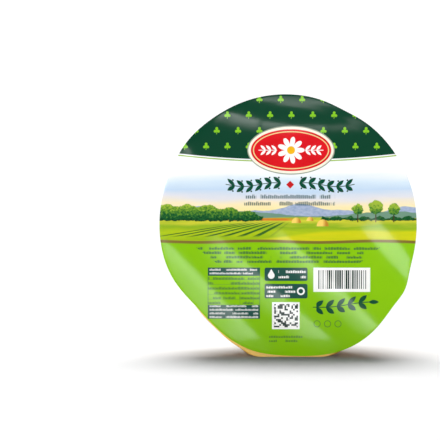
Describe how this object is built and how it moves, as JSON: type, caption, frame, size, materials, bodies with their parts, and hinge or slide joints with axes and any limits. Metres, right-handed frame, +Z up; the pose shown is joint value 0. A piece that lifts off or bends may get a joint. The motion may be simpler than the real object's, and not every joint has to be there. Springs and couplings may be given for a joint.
{
  "type": "vacuum-packed butter with printed lid film",
  "caption": "Butter lump vacuum packed in clear film behind a round printed lid film, with an oval label near the crown, standing on its flank.",
  "frame": {"origin": "middle of the pack's box on the surface it stands on", "axes": "+Z up, -Y the way the printed lid faces, +Y towards the crown of the butter, +X to the right of the print"},
  "size_m": [0.1232, 0.0804, 0.1261],
  "materials": {
    "butter_in_film": "soft cream-yellow butter drawn tight in thin clear glossy film with small folds",
    "lid_film": "smooth printed film, gloss, pale on its back",
    "label_paper": "smooth printed self-adhesive label, satin"
  },
  "bodies": {
    "root": {"filled_dome": "butter_in_film", "printed_lid": "lid_film", "oval_label": "label_paper"}
  },
  "joints": []
}
